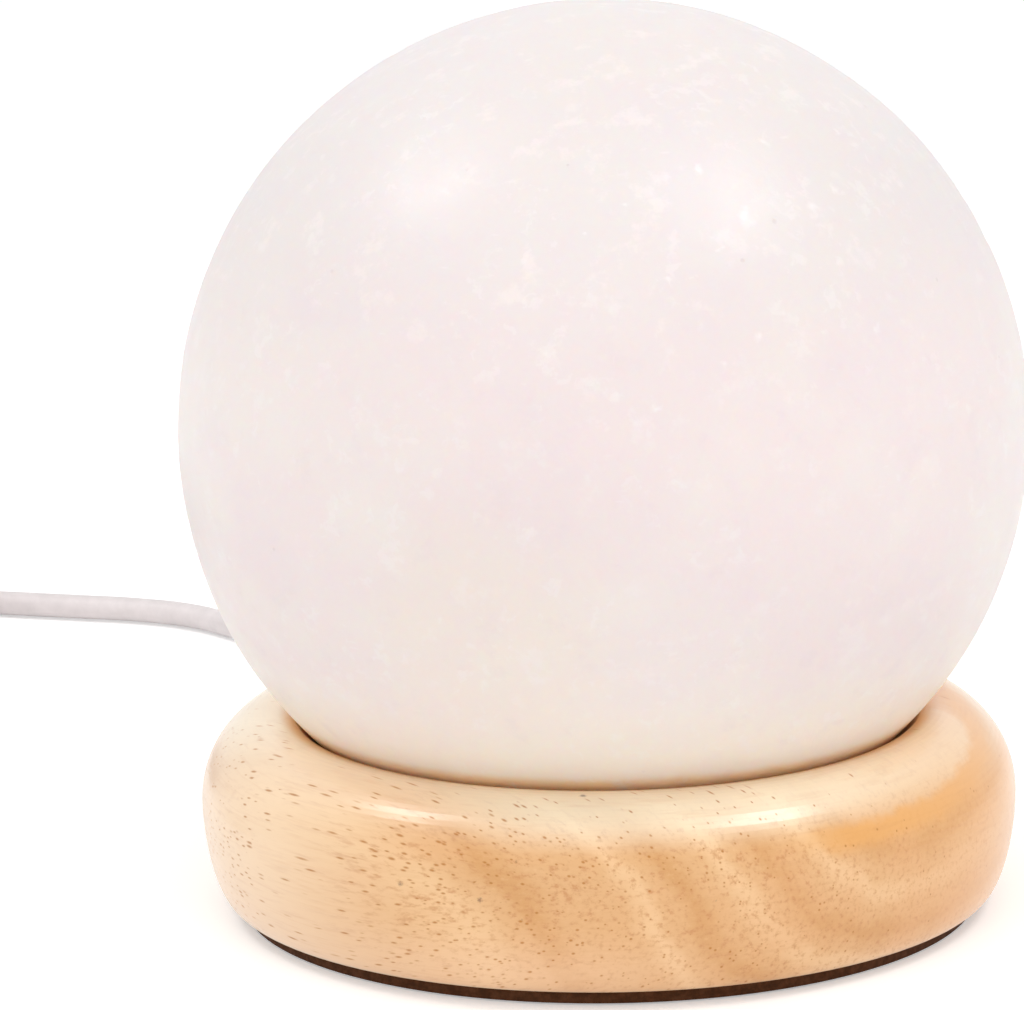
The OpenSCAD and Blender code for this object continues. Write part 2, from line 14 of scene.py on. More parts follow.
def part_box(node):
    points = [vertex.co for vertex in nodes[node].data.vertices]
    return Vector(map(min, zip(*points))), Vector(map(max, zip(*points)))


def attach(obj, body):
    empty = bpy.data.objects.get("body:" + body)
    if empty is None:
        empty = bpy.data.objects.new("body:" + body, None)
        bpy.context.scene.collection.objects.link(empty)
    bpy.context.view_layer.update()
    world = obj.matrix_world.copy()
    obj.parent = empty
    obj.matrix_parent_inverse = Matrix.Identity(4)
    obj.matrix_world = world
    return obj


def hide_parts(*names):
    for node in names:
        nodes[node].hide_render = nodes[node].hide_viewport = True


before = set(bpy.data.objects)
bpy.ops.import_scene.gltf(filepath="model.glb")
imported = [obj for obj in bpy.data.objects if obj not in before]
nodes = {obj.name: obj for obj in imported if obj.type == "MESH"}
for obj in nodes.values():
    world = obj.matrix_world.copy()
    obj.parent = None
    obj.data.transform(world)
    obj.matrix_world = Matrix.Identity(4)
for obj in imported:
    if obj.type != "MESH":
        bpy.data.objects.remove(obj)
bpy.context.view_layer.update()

# Photograph's frame in pixels, and what was measured in it
PHOTO_W, PHOTO_H = 1024, 1010
BALL_PX = (603.4, 427.5)
FOCAL_PX = 6613.0
VIEW_DISTANCE = 0.7
VIEW_ELEVATION = math.radians(12.3)
VIEW_ROLL = math.radians(1.0)
SENSOR = 0.036
CLIP_NEAR = 0.05
CLIP_FAR = 50

# The ball, and where the CAD has the grommet and the plug
ball_low, ball_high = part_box("salt_ball")
ball_r = (ball_high.x - ball_low.x) / 2
ball_mid = Vector((0, 0, ball_high.z - ball_r))
grommet_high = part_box("cord_grommet")[1]
plug_low, plug_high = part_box("usb_plug_shell")
grip_low, grip_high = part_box("usb_plug_grip")
plug_x = (plug_low.x + plug_high.x) / 2
plug_z = (plug_low.z + plug_high.z) / 2
relief_y = grip_high.y


# Camera

def make_camera():
    """Looks across, a little down and rolled, with the ball's middle at its place in the
    photograph."""
    middle = Vector((BALL_PX[0] - PHOTO_W / 2, PHOTO_H / 2 - BALL_PX[1])) / FOCAL_PX
    right, up = Matrix.Rotation(-VIEW_ROLL, 2) @ middle
    reach = math.sqrt(1 + right ** 2 + up ** 2)
    down = math.atan(up) + math.asin(math.sin(VIEW_ELEVATION) * reach / math.hypot(1, up))
    yaw = math.atan2(right, math.cos(down) + up * math.sin(down))
    camera = bpy.data.cameras.new("camera")
    camera.sensor_width = SENSOR * 1000
    camera.lens = SENSOR * 1000 * FOCAL_PX / PHOTO_W
    camera.clip_start = CLIP_NEAR
    camera.clip_end = CLIP_FAR
    seat = bpy.data.objects.new("camera", camera)
    away = Vector((0, -math.cos(VIEW_ELEVATION), math.sin(VIEW_ELEVATION)))
    seat.location = ball_mid + VIEW_DISTANCE * away
    level = Euler((math.pi / 2 - down, 0, yaw)).to_matrix()
    seat.rotation_euler = (level @ Matrix.Rotation(-VIEW_ROLL, 3, "Z")).to_euler()
    bpy.context.scene.collection.objects.link(seat)
    bpy.context.scene.camera = seat


make_camera()


# Cord: the same route as the CAD's, from the tip of the grommet's nose to the plug

CORD_D = 0.003
EXIT_Z = 0.0056
TIE_T = 0.0005
TIE_LIFT = 0.0001
END_STRAIGHT = CORD_D + 0.0005

# Coil: its turns in degrees, with a knot of the curve after each step
TURN_GAP = 0.0005
COIL_PITCH = CORD_D + TURN_GAP
COIL_INNER_R = 0.012
COIL_LAYERS = 4
LAYER_TURN = 742.5
CLIMB_TURN = 180
START_ANGLE = 90
COIL_STEP = 15
COIL_OUTER_R = COIL_INNER_R + COIL_PITCH * LAYER_TURN / 360

# How finely the curve is divided round the cord, and from knot to knot
CORD_ROUND = 5
CORD_ALONG = 4

# Knots: the free stretch from the exit, the lead from the coil's end, and the end from the plug
exit_point = Vector((0, grommet_high.y, EXIT_Z))
floor_z = CORD_D / 2
coil_z = CORD_D / 2 + TIE_T + TIE_LIFT
cord_lay = [
    (0, 0, EXIT_Z), (0, 0.0035, EXIT_Z), (-0.0002, 0.0094, 0.0047), (-0.0024, 0.0162, 0.0029),
    (-0.0066, 0.0226, 0.0017), (-0.0118, 0.0282, floor_z), (-0.0172, 0.0337, floor_z),
    (-0.0226, 0.0394, floor_z), (-0.0280, 0.0452, floor_z), (-0.0332, 0.0510, floor_z),
    (-0.0382, 0.0569, floor_z), (-0.0428, 0.0628, floor_z), (-0.0472, 0.0686, floor_z),
    (-0.0526, 0.0738, floor_z), (-0.0594, 0.0771, floor_z), (-0.0668, 0.0791, floor_z),
    (-0.0740, 0.0810, floor_z), (-0.0810, 0.0829, floor_z), (-0.0875, 0.0839, 0.0018),
    (-0.0940, 0.0841, coil_z), (-0.0975, 0.0841, coil_z),
]
lead_lay = [(0, -0.0093, -0.0014), (0.0003, -0.0153, -0.0037), (0.0009, -0.0218, -0.0060),
            (0.0018, -0.0283, -0.0076)]
plug_lay = [(-0.0004, 0.010), (0, END_STRAIGHT), (0, 0)]


def coil_point(turned, middle):
    """Point of the coil after that many degrees: it spirals in, out, in and out again, and
    climbs a layer in the half turn round each reversal."""
    layer = min(COIL_LAYERS - 1, int(turned // LAYER_TURN))
    wound = COIL_PITCH * (turned - layer * LAYER_TURN) / 360
    radius = COIL_OUTER_R - wound if layer % 2 == 0 else COIL_INNER_R + wound
    climbed = sum(
        min(1, max(0, (turned - k * LAYER_TURN + CLIMB_TURN / 2) / CLIMB_TURN))
        for k in range(1, COIL_LAYERS))
    angle = math.radians(START_ANGLE + turned)
    return Vector((middle.x + radius * math.cos(angle), middle.y + radius * math.sin(angle),
                   coil_z + COIL_PITCH * climbed))


def cord_points():
    """The cord's middle line."""
    lay = [exit_point + Vector((x, y, z - EXIT_Z)) for x, y, z in cord_lay]
    middle = Vector((lay[-1].x - END_STRAIGHT, lay[-1].y - COIL_OUTER_R, 0))
    sweep = LAYER_TURN * COIL_LAYERS
    steps = round(sweep / COIL_STEP)
    coil = [coil_point(i * sweep / steps, middle) for i in range(steps + 1)]
    last_angle = math.radians(START_ANGLE + sweep)
    heading = Vector((-math.sin(last_angle), math.cos(last_angle), 0))
    lead_start = coil[-1] + END_STRAIGHT * heading
    lead = [lead_start, lead_start + END_STRAIGHT * heading]
    lead += [lead_start + Vector(step) for step in lead_lay]
    lead += [Vector((plug_x + x, relief_y + y, plug_z)) for x, y in plug_lay]
    return lay + coil + lead


def make_cord():
    """The cord as a curve, and its length. Its knots carry its radius, because a curve's bound
    box is grown by that."""
    points = cord_points()
    curve = bpy.data.curves.new("usb_cord", "CURVE")
    curve.dimensions = "3D"
    curve.bevel_depth = 1.0
    curve.bevel_resolution = CORD_ROUND
    curve.use_fill_caps = True
    curve.resolution_u = CORD_ALONG
    spline = curve.splines.new("BEZIER")
    spline.bezier_points.add(len(points) - 1)
    for knot, point in zip(spline.bezier_points, points):
        knot.co = point
        knot.radius = CORD_D / 2
        knot.handle_left_type = "AUTO"
        knot.handle_right_type = "AUTO"
    piece = bpy.data.objects.new("usb_cord", curve)
    bpy.context.scene.collection.objects.link(piece)
    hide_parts("power_cord", "cord_coil", "plug_lead")
    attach(piece, "base")
    return piece, sum((b - a).length for a, b in zip(points, points[1:]))


cord, cord_length = make_cord()


# Helpers for meshes

def make_mesh(name, build, body, replaced):
    """A smooth piece from a function that fills a bmesh."""
    mesh = bpy.data.meshes.new(name)
    work = bmesh.new()
    build(work)
    bmesh.ops.recalc_face_normals(work, faces=work.faces)
    work.to_mesh(mesh)
    work.free()
    for face in mesh.polygons:
        face.use_smooth = True
    piece = bpy.data.objects.new(name, mesh)
    bpy.context.scene.collection.objects.link(piece)
    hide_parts(replaced)
    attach(piece, body)
    return piece


def skin(work, loops):
    """Faces between each closed loop of points and the next."""
    for upper, lower in zip(loops, loops[1:]):
        for k in range(len(upper)):
            after = (k + 1) % len(upper)
            work.faces.new((upper[k], lower[k], lower[after], upper[after]))


def smooth(low, high, value):
    """0 before low, 1 after high, and an even S between them."""
    share = min(1, max(0, (value - low) / (high - low)))
    return share * share * (3 - 2 * share)


# Ball: ground round by hand, so it is a little taller than wide and slightly uneven

BALL_AROUND = 256
BALL_DOWN = 150
BALL_TALLER = 0.0003
HOLE_R = 0.013
HOLE_CHAMFER = 0.001
HOLE_TOP_Z = 0.0457
HOLE_STEPS = 16
CONE_TOP_Z = 0.0535
CONE_STEPS = 8
SEAT_TOUCH_Z = 0.022
SEAT_FADE = 0.006

# Waves that the grinding leaves: length, shift of the noise, and height
GRIND_WAVES = [(0.030, (0, 0, 0), 0.00016), (0.011, (7, 3, 1), 0.00006),
               (0.0035, (2, 9, 4), 0.000015)]
PIT_LENGTH = 0.0028
PIT_SHIFT = Vector((5, 5, 5))
PIT_FROM = 0.32
PIT_DEPTH = 0.00025


def ground(point):
    """How far the grinding leaves the ball's surface from a true sphere, outward."""
    out = sum(height * noise.noise(point / length + Vector(shift))
              for length, shift, height in GRIND_WAVES)
    out -= PIT_DEPTH * max(0, noise.noise(point / PIT_LENGTH + PIT_SHIFT) - PIT_FROM)
    free = min(1, max(0, (point.z - SEAT_TOUCH_Z) / SEAT_FADE))
    return out * free + min(0, out) * (1 - free)


def ball_rings():
    """Radius and height of each ring from the top down and up the hole, and whether the
    grinding shapes it."""
    flat_z = ball_low.z
    flat_r = math.sqrt(ball_r ** 2 - (ball_mid.z - flat_z) ** 2)
    lowest = math.pi - math.asin(flat_r / ball_r)
    rings = []
    for i in range(1, BALL_DOWN + 1):
        polar = lowest * i / BALL_DOWN
        rings.append((ball_r * math.sin(polar), ball_mid.z + ball_r * math.cos(polar), True))
    rings.append(((flat_r + HOLE_R) / 2, flat_z, False))
    for share in (0, 0.5, 1):
        step = HOLE_CHAMFER * share
        rings.append((HOLE_R + HOLE_CHAMFER - step, flat_z + step, False))
    wall_z = flat_z + HOLE_CHAMFER
    for i in range(1, HOLE_STEPS + 1):
        rings.append((HOLE_R, wall_z + (HOLE_TOP_Z - wall_z) * i / HOLE_STEPS, False))
    for i in range(1, CONE_STEPS):
        share = i / CONE_STEPS
        rings.append((HOLE_R * (1 - share), HOLE_TOP_Z + (CONE_TOP_Z - HOLE_TOP_Z) * share, False))
    return rings


def build_ball(work):
    def placed(point, outer):
        if not outer:
            return point
        away = (point - ball_mid).normalized()
        taller = BALL_TALLER * max(0, away.z) ** 2
        return point + away * (ground(point) + taller)

    loops = []
    for radius, z, outer in ball_rings():
        loop = []
        for k in range(BALL_AROUND):
            turn = 2 * math.pi * k / BALL_AROUND
            point = Vector((radius * math.cos(turn), radius * math.sin(turn), z))
            loop.append(work.verts.new(placed(point, outer)))
        loops.append(loop)
    top = work.verts.new(placed(ball_mid + Vector((0, 0, ball_r)), True))
    tip = work.verts.new((0, 0, CONE_TOP_Z))
    for k in range(BALL_AROUND):
        after = (k + 1) % BALL_AROUND
        work.faces.new((top, loops[0][k], loops[0][after]))
        work.faces.new((tip, loops[-1][after], loops[-1][k]))
    skin(work, loops)


ball = make_mesh("ground_ball", build_ball, "ball", "salt_ball")


# Plug's grip: a ribbed bend relief, a shoulder, and a body with a ribbed recess on both faces

GRIP_AROUND = 96
GRIP_STEP = 0.00025

# Bend relief, and its grooves, which fade in from its tip and out before the shoulder
RELIEF_L = 0.010
RELIEF_TIP_R = 0.0020
RELIEF_R = 0.0030
GROOVE_PITCH = 0.0020
GROOVE_DEPTH = 0.0005
GROOVE_FLANK = (0.1, 0.7)
GROOVES_START = (0.0008, 0.0016)
GROOVES_END = (0.0004, 0.0012)

# Shoulder and body: half width and half height, and how the round section grows square
SHOULDER_L = 0.0063
SWELL_L = SHOULDER_L * 1.1
FLARE = (-0.0006, 0.0014)
NECK_HALF = (0.00576, 0.0032)
GRIP_HALF = (0.008, 0.004)
GRIP_EDGE = 0.0009
ROUND = 2.0
SQUARER = 3.2
SQUARE_L = 0.002

# Recess for the thumb, half its width and length, with ribs that end before it does
THUMB_TO_END = 0.0078
THUMB_HALF = (0.0052, 0.0058)
THUMB_FLANK = 0.0012
THUMB_DEPTH = 0.0005
RIB_PITCH = 0.0019
RIB_HEIGHT = 0.0004
RIB_FLANK = 0.8
RIBS_END = (THUMB_HALF[1] - 0.001, THUMB_HALF[1] - 0.0016)

# Socket that the plug's metal shell stands in
SHELL_DEPTH = 0.006
SHELL_HALF = ((plug_high.x - plug_low.x) / 2, (plug_high.z - plug_low.z) / 2)
SOCKET_SQUARE = 12.0
SOCKET_GAP = 0.00005


def grip_section(along, total):
    """Half width, half height and squareness of the grip, this far from the relief's tip."""
    if along < RELIEF_L:
        radius = RELIEF_TIP_R + (RELIEF_R - RELIEF_TIP_R) * along / RELIEF_L
        in_groove = math.sin(2 * math.pi * along / GROOVE_PITCH)
        ends = smooth(*GROOVES_START, along) * smooth(*GROOVES_END, RELIEF_L - along)
        radius -= GROOVE_DEPTH * smooth(*GROOVE_FLANK, in_groove) * ends
        return radius, radius, ROUND
    past = along - RELIEF_L
    flare = smooth(*FLARE, past)
    swell = smooth(0, SWELL_L, past)
    half = []
    for neck, full in zip(NECK_HALF, GRIP_HALF):
        half.append(RELIEF_R + (neck - RELIEF_R) * flare + (full - neck) * swell)
    left = max(0, GRIP_EDGE - (total - along)) / GRIP_EDGE
    edge = GRIP_EDGE * (1 - math.sqrt(max(0, 1 - left * left)))
    return half[0] - edge, half[1] - edge, ROUND + SQUARER * smooth(0, SQUARE_L, past)


def build_grip(work):
    total = grip_high.y - grip_low.y
    thumb_mid = total - THUMB_TO_END
    steps = round(total / GRIP_STEP)

    def ring(half_w, half_h, square, y, sunk=0.0):
        loop = []
        for k in range(GRIP_AROUND):
            turn = 2 * math.pi * k / GRIP_AROUND
            c = math.cos(turn) * half_w
            s = math.sin(turn) * half_h
            reach = (abs(c / half_w) ** square + abs(s / half_h) ** square) ** (-1 / square)
            x, z = c * reach, s * reach
            inside = smooth(THUMB_HALF[0], THUMB_HALF[0] - THUMB_FLANK, abs(x))
            z -= math.copysign(inside * sunk, z)
            loop.append(work.verts.new((plug_x + x, y, plug_z + z)))
        return loop

    loops = []
    for i in range(steps + 1):
        along = total * i / steps
        off = abs(along - thumb_mid)
        thumb = THUMB_DEPTH * smooth(THUMB_HALF[1], THUMB_HALF[1] - THUMB_FLANK, off)
        wave = math.cos(2 * math.pi * (along - thumb_mid) / RIB_PITCH)
        ribs = RIB_HEIGHT * smooth(0.0, RIB_FLANK, wave) * smooth(*RIBS_END, off)
        loops.append(ring(*grip_section(along, total), relief_y - along, thumb - ribs))
    socket = (SHELL_HALF[0] + SOCKET_GAP, SHELL_HALF[1] + SOCKET_GAP, SOCKET_SQUARE)
    loops.append(ring(*socket, grip_low.y))
    loops.append(ring(*socket, grip_low.y + SHELL_DEPTH))
    skin(work, loops)
    work.faces.new(loops[0])
    work.faces.new(loops[-1])


grip = make_mesh("ribbed_grip", build_grip, "base", "usb_plug_grip")


# Node graphs

class Graph:
    """A node tree. A socket given as a value is linked, anything else is set."""

    def __init__(self, tree):
        self.tree = tree

    def feed(self, socket, value):
        if isinstance(value, bpy.types.NodeSocket):
            self.tree.links.new(value, socket)
        else:
            socket.default_value = value

    def add(self, kind, inputs=None, **settings):
        node = self.tree.nodes.new("ShaderNode" + kind)
        for key, value in settings.items():
            setattr(node, key, value)
        for key, value in (inputs or {}).items():
            self.feed(node.inputs[key], value)
        return node

    def math(self, operation, a, b=0.0):
        """A sum on numbers, and below it the plain sums and products of several."""
        return self.add("Math", {0: a, 1: b}, operation=operation).outputs[0]

    def plus(self, first, *others):
        for other in others:
            first = self.math("ADD", first, other)
        return first

    def times(self, first, *others):
        for other in others:
            first = self.math("MULTIPLY", first, other)
        return first

    def hypot(self, a, b):
        return self.math("SQRT", self.plus(self.times(a, a), self.times(b, b)))

    def vector(self, operation, a, b, output=0):
        """A sum on vectors."""
        return self.add("VectorMath", {0: a, 1: b}, operation=operation).outputs[output]

    def place(self, scale=(1, 1, 1), turn=0.0):
        """The piece's own coordinates in millimetres, turned round Z and then stretched."""
        coords = self.add("TexCoord").outputs["Object"]
        turned = self.add("Mapping", {"Vector": coords, "Rotation": (0, 0, turn)}).outputs[0]
        stretch = {"Vector": turned, "Scale": [1000 * s for s in scale]}
        return self.add("Mapping", stretch).outputs[0]

    def noise(self, coords, size, detail=2.0, rough=0.5, output="Fac"):
        """Noise with waves of that many millimetres."""
        inputs = {"Vector": coords, "Scale": 1 / size, "Detail": detail, "Roughness": rough}
        return self.add("TexNoise", inputs).outputs[output]

    def ramp(self, value, low, high, out_low=0.0, out_high=1.0, smooth=True):
        """Goes from one output to the other while the value goes from low to high."""
        kind = "SMOOTHSTEP" if smooth else "LINEAR"
        inputs = {"Value": value, "From Min": low, "From Max": high,
                  "To Min": out_low, "To Max": out_high}
        return self.add("MapRange", inputs, interpolation_type=kind).outputs[0]

    def mix(self, share, a, b):
        """From colour a to colour b by the share."""
        node = self.add("Mix", data_type="RGBA")
        self.feed(node.inputs["Factor"], share)
        self.feed(node.inputs[6], a)
        self.feed(node.inputs[7], b)
        return node.outputs[2]

    def layer(self, tone, shade, value, span):
        """The shade over the tone. Its share follows the value over the span."""
        return self.mix(self.ramp(value, *span), tone, shade)

    def cover(self, tone, shade, value, share):
        """The shade over the tone as far as the value says, times the share."""
        return self.mix(self.times(value, share), tone, shade)

    def spot(self, place, centre, radius, soft, wander):
        """1 within that many millimetres of a point, fading over the soft edge. The wander
        makes it ragged."""
        apart = self.vector("DISTANCE", place, centre, "Value")
        apart = self.plus(apart, self.times(self.noise(place, radius, 3, 0.6), wander))
        return self.ramp(apart, radius, radius + soft, 1, 0)

    def wander(self, coords, size, reach):
        """The coordinates, each led up to about that many millimetres astray."""
        off = self.vector("SUBTRACT", self.noise(coords, size, output="Color"), (0.5, 0.5, 0.5))
        far = self.add("VectorMath", {0: off, "Scale": 2 * reach}, operation="SCALE").outputs[0]
        return self.vector("ADD", coords, far)

    def flecks(self, coords, size, share, radii, crisp):
        """Soft dots in that share of the cells of that size, with their least and largest
        radius in cell widths. Each dot fades from the crisp share of its radius on."""
        cells = self.add("TexVoronoi", {"Vector": coords, "Scale": 1 / size}, feature="F1")
        pick = self.add("SeparateColor", {"Color": cells.outputs["Color"]})
        radius = self.ramp(pick.outputs["Green"], 0, 1, *radii, smooth=False)
        edge = self.math("DIVIDE", cells.outputs["Distance"], radius)
        dot = self.ramp(edge, crisp, 1, 1, 0)
        return self.times(dot, self.math("LESS_THAN", pick.outputs["Red"], share))

    def bump(self, height, distance, strength):
        inputs = {"Height": height, "Distance": distance, "Strength": strength}
        return self.add("Bump", inputs).outputs[0]


class Finish(Graph):
    """A new material's graph, with its shader."""

    def __init__(self, name):
        self.material = bpy.data.materials.new(name)
        self.material.use_nodes = True
        super().__init__(self.material.node_tree)
        self.shader = self.tree.nodes["Principled BSDF"]
        self.output = self.tree.nodes["Material Output"]

    def set(self, **inputs):
        for key, value in inputs.items():
            self.feed(self.shader.inputs[key.replace("_", " ")], value)


def colour(r, g, b):
    """A colour given as it shows, in 0 to 255, as the linear values that nodes hold."""
    def linear(c):
        c = c / 255
        return c / 12.92 if c <= 0.04045 else ((c + 0.055) / 1.055) ** 2.4
    return (linear(r), linear(g), linear(b), 1)


# Spans in what follows: two values, and the shares there where these aren't 0 and 1. Places are in
# the model's millimetres. Noises: size, detail and roughness. Flecks: size and share of the cells,
# least and largest radius in cell widths, and the share of it that is crisp.


# Salt: its shades as they show, and where they lie

SALT_PINK = colour(246, 232, 231)
SALT_PALE = colour(247, 236, 232)
SALT_CREAM = colour(247, 234, 226)
# Painted warm light on the lower ball, for light thrown up from the wood
SALT_FOOT_LIGHT = colour(255, 239, 228)
SALT_GREY = colour(236, 222, 224)
SALT_BRIGHT = colour(250, 240, 238)
# Bright flecks, and the painted glints of the crystals
SALT_FLECK_AND_GLINT = colour(255, 250, 249)
SALT_DOT = colour(206, 190, 190)
# Painted shade on the top of the ball, against the stronger light from above
SALT_TOP_SHADE = colour(232, 226, 225)
SALT_LILAC = colour(237, 223, 230)
# Painted warm light just above the seam, for light bounced from the wood
SALT_SEAM_BOUNCE = colour(255, 216, 168)

# Clouds, and cream patches: middle, radius and soft edge
CLOUD_NOISE = (24, 3, 0.55)
CLOUD_SPAN = (0.40, 0.64)
CREAM_PATCHES = [((1, -16, 93), 7, 10), ((18, -17, 89), 8, 12), ((-12, -41, 38), 9, 12),
                 ((30, 20, 70), 10, 14), ((-28, 22, 44), 12, 14), ((2, 43, 62), 9, 14)]
CREAM_SHARE = 0.8
CREAM_WANDER = 6.0

# By height: painted warm light on the foot with its ragged edge, painted shade on the top, and
# painted warm light at the seam
FOOT_LIGHT_NOISE = (9, 3, 0.6)
FOOT_LIGHT_RAGGED = 9
FOOT_LIGHT_SPAN = (26, 40, 0.9, 0)
TOP_SHADE_SPAN = (56, 84, 0, 0.75)
SEAM_BOUNCE_SPAN = (21.2, 22.6, 0.8, 0)

# Haze and mottle
HAZE_NOISE = (13, 3, 0.55)
HAZE_SPAN = (0.50, 0.66, 0, 0.18)
MOTTLE_NOISE = (4.5, 5, 0.68)
MOTTLE_GREY = (0.55, 0.70, 0, 0.22)
MOTTLE_BRIGHT = (0.45, 0.32, 0, 0.4)
MOTTLE_ROUGHNESS = (0.3, 0.7, 0.34, 0.46)

# Bright blots in crowds, and flecks. Their edges wander, by size and reach, and some lie flat, as
# the grinding drew them out.
LOOSE = (1.6, 1.2)
DRAWN_OUT = (1, 1, 5)
CROWD_NOISE = (11, 2, 0.5)
CROWD_SPAN = (0.44, 0.58)
BLOT_NOISE = (2.0, 4, 0.6)
BLOT_SPAN = (0.56, 0.66)
SPARK_FLECKS = (4.6, 0.4, (0.10, 0.28), 0.0)
FLAT_FLECKS = (5.5, 0.45, (0.06, 0.16), 0.2)
SPARK_SHARE = 0.2
DARK_FLECKS = (3.4, 0.16, (0.05, 0.12), 0.3)
DARK_SHARE = 0.25

# Painted glints of white crystals where the highlight falls: middle and soft edge
CRYSTAL_GLINTS = [((6.5, -31.0, 83.4), 0.9), ((14.3, -31.8, 79.9), 1.3), ((21.5, -27.7, 79.6), 1.2),
            ((23.5, -24.5, 81.0), 0.9), ((26.4, -23.2, 79.5), 0.7), ((15.4, -33.7, 76.9), 0.6),
            ((6.8, -38.1, 74.5), 0.7), ((-1.5, -35.6, 79.0), 0.6), ((2.3, -33.6, 81.3), 0.6),
            ((9.9, -29.4, 84.1), 0.8), ((16.6, -23.6, 86.0), 0.9), ((24.5, -16.5, 85.4), 0.7),
            ((16.9, -15.8, 90.0), 0.8), ((15.4, -38.5, 68.9), 0.8), ((12.0, -40.7, 66.5), 0.7),
            ((27.5, -31.4, 68.2), 0.8), ((5.2, -43.2, 63.0), 0.8), ((11.6, -35.1, 77.1), 0.6)]
GLINT_CORE = 0.3
GLINT_WANDER = 0.5
GLINT_SHARE = 0.55

# Surface: how much the fine noise, the dark flecks and the scratches count, depth and strength
FINE_NOISE = (1.4, 3, 0.6)
FINE_PART = 0.6
DARK_PART = -0.8
SCRATCH_FLECKS = (7.0, 0.5, (0.04, 0.10), 0.5)
SCRATCH_PART = -0.5
SALT_BUMP = (0.00008, 0.6)


def salt_material():
    """Ground white rock salt: pale pink with cream clouds, bright flecks and fine scratches."""
    g = Finish("salt")
    place = g.place()
    height = g.add("SeparateXYZ", {"Vector": place}).outputs["Z"]
    mottle = g.noise(place, *MOTTLE_NOISE)
    loose = g.wander(place, *LOOSE)
    drawn_out = g.vector("MULTIPLY", place, DRAWN_OUT)

    # Clouds and patches, then the painted light and shade by height
    tone = g.layer(SALT_PINK, SALT_PALE, g.noise(place, *CLOUD_NOISE), CLOUD_SPAN)
    for centre, radius, soft in CREAM_PATCHES:
        patch = g.spot(place, centre, radius, soft, CREAM_WANDER)
        tone = g.cover(tone, SALT_CREAM, patch, CREAM_SHARE)
    # Painted warm light on the lower ball, for light thrown up from the wood
    ragged = g.plus(height, g.times(g.noise(place, *FOOT_LIGHT_NOISE), FOOT_LIGHT_RAGGED))
    tone = g.layer(tone, SALT_FOOT_LIGHT, ragged, FOOT_LIGHT_SPAN)
    # Painted shade: the top is greyer, against the stronger light that falls on it from above
    tone = g.layer(tone, SALT_TOP_SHADE, height, TOP_SHADE_SPAN)
    # Painted warm light just above the seam, for light bounced from the wood
    tone = g.layer(tone, SALT_SEAM_BOUNCE, height, SEAM_BOUNCE_SPAN)

    # Haze and mottle
    tone = g.layer(tone, SALT_LILAC, g.noise(place, *HAZE_NOISE), HAZE_SPAN)
    tone = g.layer(tone, SALT_GREY, mottle, MOTTLE_GREY)
    tone = g.layer(tone, SALT_BRIGHT, mottle, MOTTLE_BRIGHT)

    # Bright blots and flecks, painted crystal glints, and a few dark flecks
    crowd = g.ramp(g.noise(place, *CROWD_NOISE), *CROWD_SPAN)
    bright = g.times(g.ramp(g.noise(loose, *BLOT_NOISE), *BLOT_SPAN), crowd)
    bright = g.math("MAXIMUM", bright, g.flecks(loose, *SPARK_FLECKS))
    bright = g.math("MAXIMUM", bright, g.flecks(drawn_out, *FLAT_FLECKS))
    tone = g.cover(tone, SALT_FLECK_AND_GLINT, bright, SPARK_SHARE)
    glints = 0.0
    for centre, soft in CRYSTAL_GLINTS:
        glint = g.spot(loose, centre, soft * GLINT_CORE, soft, GLINT_WANDER)
        glints = g.math("MAXIMUM", glints, glint)
    tone = g.cover(tone, SALT_FLECK_AND_GLINT, glints, GLINT_SHARE)
    dark = g.flecks(place, *DARK_FLECKS)
    tone = g.cover(tone, SALT_DOT, dark, DARK_SHARE)

    # Surface
    rough = g.plus(mottle, g.times(g.noise(place, *FINE_NOISE), FINE_PART),
                   g.times(dark, DARK_PART),
                   g.times(g.flecks(drawn_out, *SCRATCH_FLECKS), SCRATCH_PART))
    g.set(Base_Color=tone, Roughness=g.ramp(mottle, *MOTTLE_ROUGHNESS), IOR=1.54,
          Subsurface_Weight=0.8, Subsurface_Scale=0.002, Subsurface_Radius=(1.5, 0.9, 0.6),
          Specular_IOR_Level=0.35, Normal=g.bump(rough, *SALT_BUMP))
    return g.material


# Wood: X runs across the grain, Y along it, Z up. Its noises begin with their stretch along it.

GRAIN_TURN = math.radians(42)
WOOD_LEFT_PALE = colour(255, 226, 190)
# Painted light and sheen on the top of the rim
WOOD_RIM_LIGHT = colour(255, 243, 214)
# Painted light on the lip of the dish, brightening the shaded pocket under the ball
WOOD_LIP_LIGHT = colour(255, 208, 150)
WOOD_AMBER = colour(240, 171, 88)
WOOD_ARC = colour(238, 172, 92)
WOOD_LOW = colour(246, 208, 170)
WOOD_PALE = colour(244, 199, 146)
WOOD_TAN = colour(231, 179, 122)
WOOD_ORANGE = colour(220, 162, 98)
WOOD_ROSE = colour(237, 179, 124)
WOOD_STREAK = colour(206, 138, 78)
WOOD_PORE = colour(180, 108, 20)
WOOD_MARK = colour(92, 44, 12)

